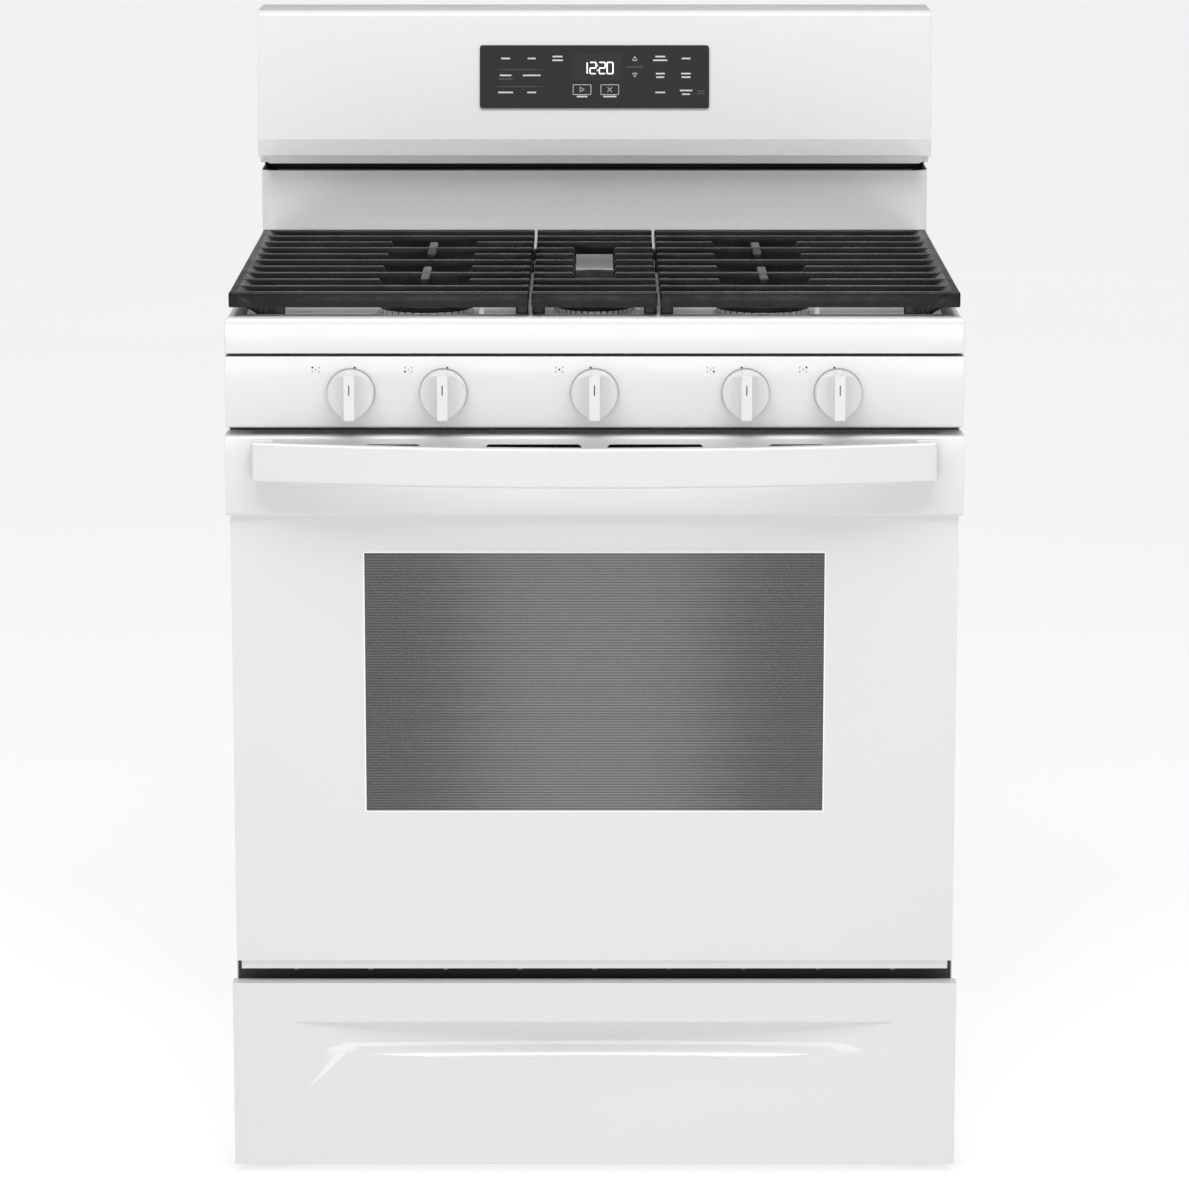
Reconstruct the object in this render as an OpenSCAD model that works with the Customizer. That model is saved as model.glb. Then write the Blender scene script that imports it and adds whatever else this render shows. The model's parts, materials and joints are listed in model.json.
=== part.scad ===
// Freestanding gas range, 30 inch class, with a convection oven, a storage drawer and a backguard.
// The origin is on the floor under the middle of the bounding box; the front faces -Y.

/* [Overall] */
// Width across the door and the drawer front
range_w = 760; // [720:1:920]
// Depth from the face of the door trim to the back
body_d = 655; // [540:1:790]
// Height of the cooktop rim above the floor
cooktop_h = 914; // [860:1:1100]
// Height of the backguard above the cooktop rim
backguard_h = 270; // [225:1:330]
// How far the handle stands out from the door trim
handle_out = 60; // [50:1:75]

/* [Door and oven] */
// Height of the door's top trim
trim_h = 82.6; // [70:0.1:100]
// Thickness of the door up to its inner face
door_t = 46; // [44:1:56]
// Width of the door window
window_w = 476; // [380:1:580]
// Height of the door window
window_h = 274; // [200:1:330]
// Space at each side of the oven for insulation and hinges
oven_side = 75; // [72:1:100]
// Thickness of the insulation around the oven
insulation_t = 28; // [20:1:30]
// Height of one rack level above the one below
rack_pitch = 70; // [58:1:84]
// Height of the handle bar
handle_h = 41; // [30:1:50]
// Thickness of the handle bar
handle_t = 13; // [10:1:16]

/* [Drawer] */
// Height of the drawer front
drawer_h = 198.5; // [165:0.5:240]
// Gap between the drawer front and the door
drawer_gap = 13.5; // [13:0.5:20]
// Width of the drawer pan
pan_w = 650; // [540:1:660]
// Depth of the drawer pan
pan_d = 480; // [400:1:490]

/* [Cooktop] */
// Height of the cooktop's front face
skirt_h = 38; // [31:1:46]
// Height of the control panel
panel_h = 74; // [62:1:90]
// Distance of the outer burners from the middle
burner_x = 177.5; // [150:0.5:213]
// Diameter of the large burner heads
head_d = 104; // [86:1:125]
// Diameter of the small burner heads
small_head_d = 84; // [70:1:101]
// Width of a grate bar
bar_w = 9; // [7:0.5:11]
// Height of a grate bar
bar_h = 14; // [11:0.5:17]

/* [Knobs] */
// Diameter of the knob skirt
knob_d = 48.4; // [40:0.1:58]
// How far a knob stands out from the control panel
knob_out = 44; // [36:1:53]
// How far a knob pushes in before it turns
knob_push = 3; // [2:0.5:4]
// Diameter of the valve stem
stem_d = 10; // [8:0.5:12]

/* [Sheet and glass] */
// Thickness of the steel sheet
sheet = 1.5; // [1.2:0.1:2]
// Thickness of the glass panes
glass_t = 4; // [3:0.5:5]

/* [Hidden] */
$fn = 48;
cut = 1;              // how far a cutting solid runs past the face it opens
fit_gap = 0.05;       // radial clearance of a pin that turns or slides in its bore
run_gap = 0.3;        // clearance between curved faces that pass or rest near each other

// Places along the depth are counted from the face of the door trim
total_d = body_d + handle_out;
face_y = handle_out - total_d / 2;
half_w = range_w / 2;
foot_x = half_w - 24;
case_x = half_w - 1;             // outer face of the side panels
case_in = case_x - sheet;
frame_y = door_t + 4;            // front of the front frame, behind the door gasket
frame_back = frame_y + sheet;
rear_y = body_d - 3.5;           // inner face of the rear panel
foot_ys = [70, rear_y - 40];
screw_pitch = 79;                // between the screws of the cross member
riser_d = 84;                    // depth of the backguard behind its riser
riser_y = body_d - riser_d;
lead_y = 8;                      // set-back of the control panel and cooktop

// Heights
drawer_z = [11, 11 + drawer_h];
skirt_z = cooktop_h - skirt_h;
panel_z = [skirt_z - 3 - panel_h, skirt_z - 3];
door_z = [drawer_z[1] + drawer_gap, panel_z[0] - 8];
trim_z = door_z[1] - trim_h;
strip_h = 9.4;                   // bottom edge strip of the door
oven_z = [door_z[0] + 62, door_z[1] - 46];
member_z = [door_z[0] - 27, door_z[0] + 9];   // recessed cross member below the door
overall_h = cooktop_h + backguard_h;
console_z = overall_h - 172;     // underside of the console's lip
riser_z = console_z - 9.5;       // the exhaust slot lies between the riser and the console
nose = [riser_y - 38, overall_h - 141.5];     // y, z where the console's face bends down
chin_z = nose.y - 20.5;          // bottom of the console's front
brow_y = riser_y - 9;            // the console's top front edge
lean = atan((brow_y - nose.x) / (overall_h - nose.y));
display = [129, 34, 105];        // the display's half width and its reach up the sloped face
display_t = 2.5;
panel_mid = (panel_z[0] + panel_z[1]) / 2;

// Services at the back: x, z of the gas pipe and of the cable gland
gas_port = [310, 120];
gland = [-260, 120];
gas_r = 10.65;                   // half the outside diameter of 1/2 inch pipe
cable_r = 4.5;
manifold_r = 8;

// Oven
oven_x = half_w - oven_side;
rear_space = 102;                // room behind the insulation for the fan motor and pipes
oven_y = [frame_back, rear_y - rear_space - insulation_t - sheet];
wall_back = oven_y[1] + sheet;
lag_y = wall_back + insulation_t;
pan_floor_z = member_z[1] + 4;   // underside of the burner pan
fan_z = (oven_z[0] + oven_z[1]) / 2;
fan_r = 92;
fan_blades = 12;
shaft_r = 4;
cover_d = 36;                    // depth of the cover over the fan
lamp = [-oven_x + 90, oven_z[1] - 60];   // x, z of the oven lamp
rib_w = 6;
rib_h = 5;
flue_x = 50;                     // half the width of the flue
flue_z = [oven_z[1] - 45, oven_z[1] - 10];
function rack_z(level) = oven_z[0] + 60 + level * rack_pitch;
rack_rod_r = 3;
rack_wire_r = 1.6;
rack_x = oven_x - 3;
rack_y = [oven_y[0] + 12, oven_y[1] - 40];

// Door
slot_z = door_z[1] - 17;
window_z = [trim_z - 40 - window_h, trim_z - 40];
hinge_x = oven_x + 40;
pivot = [25, door_z[0] + 20];    // y, z of the hinge pin
pin_r = 4;
claw_r = 8;
claw_t = 6;
liner_y = door_t - sheet;
ring_x = hinge_x + 8;            // inner face of the door's side channels
handle_x = half_w - 28.5;
handle_end = 20;                 // how far the handle stands out at its ends
handle_z = [door_z[1] - 3 - handle_h, door_z[1] - 3];

// Drawer
front_t = 18;
pan_z = [25, 150];
slide_z = 100;
roller_r = 12;
rail_x = pan_w / 2 + 20;

// Cooktop
rim_w = 20;
deck_z = cooktop_h - 20;
rim_r = 9;
grate_y = [lead_y, riser_y - 30];
grate_z = [cooktop_h + 11, cooktop_h + 25];
grate_pitch = (grate_y[1] - grate_y[0] - 10) / 10;
grate_split = 66;
grate_x = half_w - 5.5;
rail_w = 12;
outer_rail_w = 24;
rail_flat = 9;                   // flat top of an outer rail, which then slopes down to the bars
rail_drop = 9;                   // how far that slope falls
lug_y = grate_y[1] - 175;        // lugs that space the grates apart
rows = [grate_y[0] + 3 * grate_pitch + 5, grate_y[0] + 7 * grate_pitch + 5];
head_z = [deck_z, deck_z + 8];
cap_h = 8;
head_bore = 12;
port_count = 36;
tube_z = deck_z - 30;
tube_r = 4;
foot_rows = [lead_y + rim_w + 6, grate_y[1] - 34];   // the grates' feet, 10 mm thick

// Knobs
knob_xs = [-250, -155, 0, 155, 250];
knob_back = lead_y - 1 - knob_push;
knob_front = lead_y - knob_out;
grip_w = 11;
valve_y = [44, 80];
stem_end = valve_y[0] + 12;

// x, y and head diameter of the burner that each knob feeds
burners = [[-burner_x, rows[1], small_head_d], [-burner_x, rows[0], head_d],
    [0, (rows[0] + rows[1]) / 2, small_head_d], [burner_x, rows[0], head_d],
    [burner_x, rows[1], small_head_d]];
oval_l = 206;                    // distance between the round ends of the oval middle burner

// Corner i of the outline p moved inwards by g; corners are [x, y, radius], counter-clockwise
function corner_in(p, i, g) =
    let (n = len(p), a = p[(i + n - 1) % n], b = p[i], c = p[(i + 1) % n],
         u = [b.x - a.x, b.y - a.y] / norm([b.x - a.x, b.y - a.y]),
         v = [c.x - b.x, c.y - b.y] / norm([c.x - b.x, c.y - b.y]),
         m = [-u.y - v.y, u.x + v.x] * g / (1 + u * v),
         r = b[2] - sign(cross(u, v)) * g)
    [b.x + m.x, b.y + m.y, b[2] > 0 ? max(r, 0) : 0];
function inset(p, g) = [for (i = [0:len(p) - 1]) corner_in(p, i, g)];

// Corner i of the outline p as the points of its arc
function corner_arc(p, i, n) =
    let (k = len(p), a = p[(i + k - 1) % k], b = p[i], c = p[(i + 1) % k], r = b[2])
    r <= 0 ? [[b.x, b.y]] :
    let (u = [a.x - b.x, a.y - b.y] / norm([a.x - b.x, a.y - b.y]),
         v = [c.x - b.x, c.y - b.y] / norm([c.x - b.x, c.y - b.y]),
         half = acos(u * v) / 2,
         o = [b.x, b.y] + (u + v) / norm(u + v) * r / sin(half),
         s = [b.x, b.y] + u * r / tan(half) - o,
         e = [b.x, b.y] + v * r / tan(half) - o,
         a0 = atan2(s.y, s.x),
         turn = atan2(e.y, e.x) - a0,
         sweep = turn > 180 ? turn - 360 : turn < -180 ? turn + 360 : turn)
    [for (j = [0:n]) o + r * [cos(a0 + sweep * j / n), sin(a0 + sweep * j / n)]];
function rounded(p, n = 6) = [for (i = [0:len(p) - 1]) each corner_arc(p, i, n)];

// Moves a sub-part from depth behind the door face into the frame of the whole range
module placed() {
    translate([0, face_y, 0]) children();
}

module box(x, y, z) {
    translate([x[0], y[0], z[0]]) cube([x[1] - x[0], y[1] - y[0], z[1] - z[0]]);
}

// A (y, z) outline extruded along x over the width w, centred on x
module across(w, x = 0) {
    translate([x, 0, 0]) rotate([90, 0, 90]) linear_extrude(height = w, center = true) children();
}

// An (x, z) outline extruded from y[0] to y[1]
module through(y) {
    translate([0, y[1], 0]) rotate([90, 0, 0]) linear_extrude(height = y[1] - y[0]) children();
}

module rod(a, b, r) {
    v = b - a;
    translate(a) rotate([0, acos(v.z / norm(v)), atan2(v.y, v.x)]) cylinder(r = r, h = norm(v));
}

// A round tube along straight legs, with a bead at each bend
module pipe(points, r) {
    for (i = [1:len(points) - 1]) rod(points[i - 1], points[i], r);
    for (i = [1:1:len(points) - 2]) translate(points[i]) sphere(r = r * 1.06);
}

module both_sides() {
    children();
    mirror([1, 0, 0]) children();
}

module along_y(p, r, l) {
    translate(p) rotate([-90, 0, 0]) cylinder(r = r, h = l);
}

// ---- body ----

module levelling_feet() {
    color("dimgray") placed()
    for (x = [-foot_x, foot_x], y = foot_ys) translate([x, y, 0]) {
        cylinder(r = 15, h = 6);
        cylinder(r = 5, h = 34);
        translate([0, 0, 6]) cylinder(r = 9, h = 8, $fn = 6);
    }
}

module base_frame() {
    color("dimgray") placed() {
        difference() {
            union() {
                both_sides() {
                    box([rail_x + 1, case_in], [frame_back + sheet, rear_y], [14, 17]);
                    box([rail_x + 1, rail_x + 1 + sheet], [frame_back + sheet, rear_y], [14, 40]);
                    box([case_in - 22, case_in], [frame_y, frame_back], [14, member_z[1]]);
                }
                box([-case_in, case_in], [frame_y, frame_back], member_z);
                box([-oven_x, oven_x], [frame_y, frame_y + 12], [member_z[1] - sheet, member_z[1]]);
                box([-rail_x - cut, rail_x + cut], [rear_y - 50, rear_y - 10], [14, 17]);
            }
            for (x = [-foot_x, foot_x], y = foot_ys)
                translate([x, y, 0]) cylinder(r = 5.2, h = 34);
            // Air slits between the screws
            for (x = [-5:4])
                box([x * screw_pitch + 24, x * screw_pitch + 55], [frame_y - cut, frame_back + cut],
                    [member_z[1] - 14, member_z[1] - 12.5]);
        }
    }
}

module side_panels() {
    color("white") placed() both_sides() {
        box([case_in, case_x], [frame_y, rear_y], [12, skirt_z]);
        box([case_in - 22, case_in], [frame_back, frame_back + sheet], [12, skirt_z]);
    }
}

module rear_panel() {
    color("silver") placed() difference() {
        box([-case_x, case_x], [rear_y, rear_y + sheet], [40, overall_h - 12]);
        box([gas_port.x - 40, gas_port.x + 40], [rear_y - cut, body_d], [gas_port.y - 50, gas_port.y + 50]);
        along_y([gland.x, rear_y - cut, gland.y], 8, 5);
        for (x = [-4:4], z = [0:5])
            box([x * 70 - 25, x * 70 + 25], [rear_y - cut, body_d], [fan_z + z * 14, fan_z + z * 14 + 5]);
    }
}

module front_frame() {
    color("slategray") placed() difference() {
        box([-case_in, case_in], [frame_y, frame_back], [member_z[1], door_z[1] + 4]);
        box([-oven_x, oven_x], [frame_y - cut, frame_back + cut], oven_z);
        both_sides()
            box([hinge_x - 5, hinge_x + 5], [frame_y - cut, frame_back + cut],
                [member_z[1] - cut, pivot[1] + 10]);
    }
}

module oven_liner() {
    color("slategray") placed() {
        difference() {
            box([-oven_x - sheet, oven_x + sheet], oven_y, [pan_floor_z, oven_z[1] + sheet]);
            box([-oven_x, oven_x], [oven_y[0] - cut, oven_y[1] + cut], [pan_floor_z - cut, oven_z[1]]);
        }
        both_sides() for (level = [0:4])
            box([oven_x - rib_w, oven_x], [rack_y[0], oven_y[1] - 10], [rack_z(level) - rib_h, rack_z(level)]);
    }
}

module oven_back_wall() {
    color("slategray") placed() difference() {
        box([-oven_x - sheet, oven_x + sheet], [oven_y[1], wall_back], [pan_floor_z, oven_z[1] + sheet]);
        along_y([0, oven_y[1] - cut, fan_z], shaft_r + 4, 9);
        along_y([lamp.x, oven_y[1] - cut, lamp.y], 15, 9);
        box([-flue_x + 3, flue_x - 3], [oven_y[1] - cut, wall_back + cut], [flue_z[0] + 3, flue_z[1] - 3]);
        for (z = burner_zs) along_y([tail_x, oven_y[1] - cut, z], 10, 9);
    }
}

module oven_floor() {
    color("slategray") placed() difference() {
        box([-oven_x, oven_x], oven_y, [oven_z[0] - sheet, oven_z[0]]);
        both_sides() for (i = [0:7])
            box([oven_x - 45, oven_x - 15], [oven_y[0] + 40 + i * 48, oven_y[0] + 52 + i * 48],
                [oven_z[0] - 5, oven_z[0] + cut]);
    }
}

module burner_pan() {
    color("slategray") placed()
        box([-oven_x, oven_x], oven_y, [pan_floor_z, pan_floor_z + sheet]);
}

module oven_insulation() {
    color("khaki") placed() difference() {
        box([-oven_x - sheet - insulation_t, oven_x + sheet + insulation_t],
            [frame_back + sheet, lag_y], [pan_floor_z, oven_z[1] + sheet + insulation_t]);
        box([-oven_x - sheet, oven_x + sheet], [frame_back, wall_back],
            [pan_floor_z - cut, oven_z[1] + sheet]);
        along_y([0, wall_back - cut, fan_z], 32, insulation_t + 5);
        along_y([lamp.x, wall_back - cut, lamp.y], 20, insulation_t + 5);
        box([-flue_x - 1, flue_x + 1], [wall_back - cut, lag_y + cut], [flue_z[0] - 1, flue_z[1] + 1]);
        for (z = burner_zs) along_y([tail_x, wall_back - cut, z], flange_r + 2, insulation_t + 5);
    }
}

// Heights of the bake and broil burners, and the side where their inlets leave the oven
burner_zs = [oven_z[0] - 22, oven_z[1] - 18];
tail_x = 120;
flange_r = 13;
module oven_burners() {
    color("lightgray") placed() for (z = burner_zs) {
        pipe([[tail_x, lag_y + 20, z], [tail_x, oven_y[0] + 70, z], [-tail_x, oven_y[0] + 70, z],
              [-tail_x, oven_y[1] - 60, z]], 8);
        along_y([tail_x, wall_back, z], flange_r, 2);
    }
}

module fan_cover() {
    color("slategray") placed() difference() {
        along_y([0, oven_y[1] - cover_d, fan_z], fan_r + 10, cover_d);
        along_y([0, oven_y[1] - cover_d + sheet, fan_z], fan_r + 10 - sheet, cover_d);
        for (i = [1:fan_blades]) translate([0, 0, fan_z]) rotate([0, i * 360 / fan_blades, 0])
            box([30, 78], [oven_y[1] - cover_d - cut, oven_y[1] - cover_d + sheet + cut], [-4, 4]);
        for (i = [1:fan_blades]) translate([0, 0, fan_z]) rotate([0, (i + 0.5) * 360 / fan_blades, 0])
            box([fan_r, fan_r + 20], [oven_y[1] - 28, oven_y[1] - 12], [-12, 12]);
    }
}

module fan_wheel() {
    color("silver") placed() {
        along_y([0, oven_y[1] - 20, fan_z], shaft_r, wall_back - oven_y[1] + 60);
        along_y([0, oven_y[1] - 22, fan_z], 12, 10);
        along_y([0, oven_y[1] - 13.5, fan_z], 70, 1.5);
        for (i = [1:fan_blades]) translate([0, 0, fan_z]) rotate([0, i * 360 / fan_blades, 0])
            box([44, 76], [oven_y[1] - 30, oven_y[1] - 12], [-0.75, 0.75]);
    }
}

module fan_motor() {
    color("gray") placed() difference() {
        union() {
            along_y([0, wall_back, fan_z], 28, 2);
            along_y([0, wall_back, fan_z], 10, lag_y - wall_back + 8);
            along_y([0, lag_y + 5, fan_z], 38, 46);
        }
        along_y([0, wall_back - cut, fan_z], shaft_r + fit_gap, 75);
    }
}

module oven_lamp() {
    color("lightyellow") placed() {
        along_y([lamp.x, oven_y[1] - 22, lamp.y], 20, 22);
        along_y([lamp.x, oven_y[1] - cut, lamp.y], 14, insulation_t + 14);
    }
}

module drawer_rails() {
    color("silver") placed() both_sides() {
        difference() {
            box([pan_w / 2 + 6, rail_x], [frame_back + 3, rail_back], [slide_z - 14, slide_z + 14]);
            box([pan_w / 2, rail_x - sheet], [frame_back, rail_back + cut],
                [slide_z - roller_r - 0.5, slide_z + roller_r + 0.5]);
        }
        for (y = [frame_back + 8, rail_back - 20])
            box([rail_x, case_in], [y, y + 3], [slide_z - 14, slide_z + 14]);
    }
}
rail_back = frame_back + 440;

module hinge_receivers() {
    color("silver") placed() both_sides() {
        difference() {
            box([hinge_x - 6.5, hinge_x + 6.5], [frame_back, frame_back + 78], [pivot[1] - 11, pivot[1] + 11]);
            box([hinge_x - 5, hinge_x + 5], [frame_back - cut, frame_back + 76],
                [pivot[1] - 8, pivot[1] + 9.5]);
        }
        difference() {
            union() {
                across(claw_t, hinge_x) translate(pivot) circle(r = claw_r);
                box([hinge_x - claw_t / 2, hinge_x + claw_t / 2], [pivot[0], frame_back + 70],
                    [pivot[1] - claw_r, pivot[1] + claw_r]);
            }
            across(claw_t + 2, hinge_x) translate(pivot) circle(r = pin_r + fit_gap);
        }
    }
}

module panel_screws() {
    color("gray") placed() {
        for (i = [-4:4]) along_y([i * screw_pitch, frame_y - 1.2, member_z[1] - 18], 4, 1.2);
        for (x = [-1, 1], z = [60, 320, 600, skirt_z - 16, console_z + 20, overall_h - 30])
            along_y([x * (case_x - 14), rear_y + sheet, z], 4, 1.5);
    }
}

// ---- gas and electric ----

module gas_inlet() {
    color("goldenrod") placed() {
        box([gas_port.x - 20, gas_port.x + 20], [rear_y - 80, rear_y - 40], [gas_port.y - 30, gas_port.y + 30]);
        along_y([gas_port.x, rear_y - 40, gas_port.y], gas_r, body_d - rear_y + 40);
        along_y([gas_port.x, rear_y - 40, gas_port.y], 15, 10);
    }
}

module gas_manifold() {
    side = oven_x + sheet + insulation_t + 20;
    y = [valve_y[1] + 15, rear_y - 60];
    z = [gas_port.y + 30, gas_port.y + 52, gas_port.y + 76, panel_mid - 8];
    color("silver") placed() {
        pipe([[gas_port.x, y[1], z[0]], [gas_port.x, y[1], z[1]], [side, y[1], z[2]], [side, y[1], z[3]],
              [side, y[0], z[3]], [knob_xs[0] - 30, y[0], z[3]]], manifold_r);
        for (x = knob_xs) along_y([x, valve_y[1], z[3]], 6, 12);
    }
}

module gas_valves() {
    color("silver") placed() for (x = knob_xs) difference() {
        union() {
            box([x - 13, x + 13], valve_y, [panel_mid - 15, panel_mid + 14]);
            translate([x, 68, panel_mid + 13]) cylinder(r = 6, h = 7);
            along_y([x, lead_y + sheet + 22, panel_mid], stem_d / 2 + 3, valve_y[0] - lead_y - sheet - 21);
        }
        along_y([x, lead_y, panel_mid], stem_d / 2 + fit_gap, stem_end - lead_y + knob_push + 3);
    }
}

module burner_tubes() {
    color("silver") placed() for (i = [0:4]) {
        b = burners[i];
        k = knob_xs[i];
        bend = abs(b.x - k) < 40 ? b.y - abs(b.x - k) - 12 : b.y;
        pipe([[k, 68, panel_mid + 20], [k, 68, tube_z], [k, bend, tube_z], [b.x + 0.01, b.y, tube_z]], tube_r);
        translate([b.x, b.y, tube_z - 14]) cylinder(r = 17, h = deck_z - sheet - tube_z + 14);
    }
}

// A port cut across the rim of a head of diameter d, at angle a
module port(d, a) {
    rotate([0, 0, a]) box([d / 2 - 10, d / 2 + 2], [-0.8, 0.8], [3.5, head_z[1] - head_z[0] + cut]);
}

module round_head(d) {
    difference() {
        union() {
            cylinder(r = d / 2, h = 3);
            cylinder(r = d / 2 - 3, h = head_z[1] - head_z[0]);
        }
        translate([0, 0, -cut]) cylinder(r = head_bore, h = 20);
        for (i = [1:port_count]) port(d, (i + 0.5) * 360 / port_count);
    }
}

module oval_head(d) {
    difference() {
        union() for (step = [[d / 2, 3], [d / 2 - 3, head_z[1] - head_z[0]]]) {
            for (y = [-oval_l / 2, oval_l / 2]) translate([0, y, 0]) cylinder(r = step[0], h = step[1]);
            box([-step[0], step[0]], [-oval_l / 2, oval_l / 2], [0, step[1]]);
        }
        translate([0, 0, -cut]) cylinder(r = head_bore, h = 20);
        for (a = [10:10:170]) {
            translate([0, oval_l / 2, 0]) port(d, a);
            translate([0, -oval_l / 2, 0]) port(d, a + 180);
        }
        for (y = [-oval_l / 2:8:oval_l / 2], a = [0, 180]) translate([0, y, 0]) port(d, a);
    }
}

module burner_heads() {
    color("silver") placed() {
        for (i = [0, 1, 3, 4]) translate([burners[i].x, burners[i].y, head_z[0]]) round_head(burners[i][2]);
        translate([burners[2].x, burners[2].y, head_z[0]]) oval_head(burners[2][2]);
    }
}

module igniters() {
    color("ivory") placed() for (b = burners) translate([b.x + b[2] / 2 + 6, b.y + 4, deck_z]) {
        cylinder(r = 3, h = 7);
        cylinder(r = 1, h = 10);
    }
}

// Half the section of a burner cap of diameter d, with a rounded top edge
function cap_side(d) = concat([[d / 2 - 1.5, 0], [d / 2, 1.5]],
    [for (a = [0:15:90]) [d / 2 - 4 + 4 * cos(a), cap_h - 4 + 4 * sin(a)]]);
module cap(d) {
    rotate_extrude() polygon(concat([[0, 0]], cap_side(d), [[0, cap_h]]));
}

module cap_on(i) {
    translate([burners[i].x, burners[i].y, head_z[1]]) cap(burners[i][2] - 7);
}

module left_caps() {
    color("#202022") placed() for (i = [0, 1]) cap_on(i);
}

module centre_cap() {
    d = burners[2][2] - 7;
    side = cap_side(d);
    color("#202022") placed() translate([burners[2].x, burners[2].y, head_z[1]]) {
        for (y = [-oval_l / 2, oval_l / 2]) translate([0, y, 0]) cap(d);
        through([-oval_l / 2, oval_l / 2])
            polygon(concat(side, [for (i = [len(side) - 1:-1:0]) [-side[i].x, side[i].y]]));
    }
}

module right_caps() {
    color("#202022") placed() for (i = [3, 4]) cap_on(i);
}

module power_inlet() {
    color("#303030") placed() difference() {
        union() {
            along_y([gland.x, rear_y - 12, gland.y], 8, body_d - rear_y + 10);
            along_y([gland.x, rear_y + sheet, gland.y], 12, 2);
        }
        along_y([gland.x, rear_y - 13, gland.y], cable_r, 20);
    }
}

// ---- front and top shells ----

// The cooktop's outer form, g inside its outer faces
module cooktop_form(g) {
    intersection() {
        across(range_w + 2) polygon(rounded(inset([[lead_y, skirt_z - g, 0], [riser_y, skirt_z - g, 0],
            [riser_y, cooktop_h, 0], [lead_y, cooktop_h, rim_r]], g)));
        through([lead_y - cut, riser_y + cut]) polygon(rounded(inset([[-case_x, skirt_z - g, 0],
            [case_x, skirt_z - g, 0], [case_x, cooktop_h, rim_r], [-case_x, cooktop_h, rim_r]], g)));
    }
}

module cooktop() {
    deck_x = case_x - rim_w;
    deck_y = [lead_y + rim_w, riser_y - 12];
    color("white") placed() difference() {
        union() {
            difference() {
                cooktop_form(0);
                translate([0, 0, -sheet - cut]) cooktop_form(sheet);
                cooktop_form(sheet);
                box([-deck_x, deck_x], deck_y, [skirt_z, cooktop_h + cut]);
            }
            difference() {
                box([-deck_x, deck_x], deck_y, [deck_z - sheet, cooktop_h]);
                box([-deck_x + sheet, deck_x - sheet], [deck_y[0] + sheet, deck_y[1] - sheet],
                    [deck_z, cooktop_h + cut]);
            }
        }
        for (b = burners) translate([b.x, b.y, deck_z - 5]) cylinder(r = head_bore, h = 10);
    }
}

module control_panel() {
    form = [[lead_y, panel_z[0], 3], [frame_y, panel_z[0], 0],
        [frame_y, panel_z[1], 0], [lead_y, panel_z[1], 3]];
    color("white") placed() difference() {
        across(2 * case_x) polygon(rounded(form));
        intersection() {
            across(2 * case_x - 2 * sheet) polygon(rounded(inset(form, sheet)));
            box([-half_w, half_w], [0, frame_y + cut], panel_z);
        }
        box([-case_in, case_in], [frame_y - 2 * sheet, frame_y + cut],
            [panel_z[0] + sheet, panel_z[1] - sheet]);
        for (x = knob_xs) along_y([x, 0, panel_mid], stem_d / 2 + 1, 20);
    }
}

module backguard_riser() {
    form = [[-case_x, rear_y, 0], [-case_x, riser_y, 18], [case_x, riser_y, 18], [case_x, rear_y, 0]];
    in = inset(form, sheet);
    color("white") placed() {
        difference() {
            translate([0, 0, skirt_z]) linear_extrude(height = riser_z - skirt_z) polygon(rounded(form));
            translate([0, 0, skirt_z - cut]) linear_extrude(height = riser_z) polygon(rounded(in));
            box([-case_in, case_in], [rear_y - 2 * sheet, rear_y + cut], [skirt_z - cut, riser_z + cut]);
        }
        box([-case_x + 18, case_x - 18], [riser_y + sheet, riser_y + 15], [riser_z - sheet, riser_z]);
    }
}

module backguard_console() {
    lip_x = case_x - 8;
    lip_y = riser_y - 14;
    form = [[rear_y, console_z, 0], [rear_y, overall_h, 0], [brow_y, overall_h, 8], [nose.x, nose.y, 5],
        [nose.x + 3, chin_z, 2], [riser_y, chin_z, 0], [riser_y, console_z, 0]];
    color("white") placed() {
        difference() {
            across(2 * case_x) polygon(rounded(form));
            across(2 * case_x - 2 * sheet) polygon(rounded(inset(form, sheet)));
            box([-case_in, case_in], [rear_y - 2 * sheet, rear_y + cut],
                [console_z + sheet, overall_h - sheet]);
        }
        through([lip_y, lip_y + sheet]) polygon(rounded([[-lip_x, console_z, 4], [lip_x, console_z, 4],
            [lip_x, chin_z + sheet / 2, 0], [-lip_x, chin_z + sheet / 2, 0]]));
        box([-lip_x + 4, lip_x - 4], [lip_y + sheet / 2, riser_y + sheet / 2], [console_z, console_z + sheet]);
    }
}

module control_glass() {
    color("#101012") placed() translate([0, nose.x, nose.y]) rotate([-lean, 0, 0])
    box([-display[0], display[0]], [-display_t, 0], [display[1], display[2]]);
}

module flue_duct() {
    mouth_y = [riser_y + 15, rear_y - 2];
    mouth_z = [console_z - 25, console_z];
    shaft_y = [riser_y + 4, rear_y - 4];
    mouth_x = case_x - 4;
    color("#202022") placed() difference() {
        union() {
            box([-flue_x, flue_x], [wall_back, shaft_y[1]], flue_z);
            box([-flue_x, flue_x], shaft_y, [flue_z[0], mouth_z[0] + 5]);
            box([-mouth_x, mouth_x], mouth_y, mouth_z);
        }
        box([-flue_x + sheet, flue_x - sheet], [wall_back - cut, shaft_y[1] - sheet],
            [flue_z[0] + sheet, flue_z[1] - sheet]);
        box([-flue_x + sheet, flue_x - sheet], [shaft_y[0] + sheet, shaft_y[1] - sheet],
            [flue_z[0] + sheet, mouth_z[0] + 5]);
        box([-mouth_x + sheet, mouth_x - sheet], [mouth_y[0] + sheet, mouth_y[1] - sheet],
            [mouth_z[0] + sheet, console_z + cut]);
        box([-mouth_x + sheet, mouth_x - sheet], [mouth_y[0] - cut, mouth_y[0] + 5],
            [riser_z, console_z + cut]);
    }
}

// ---- door ----

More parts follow.
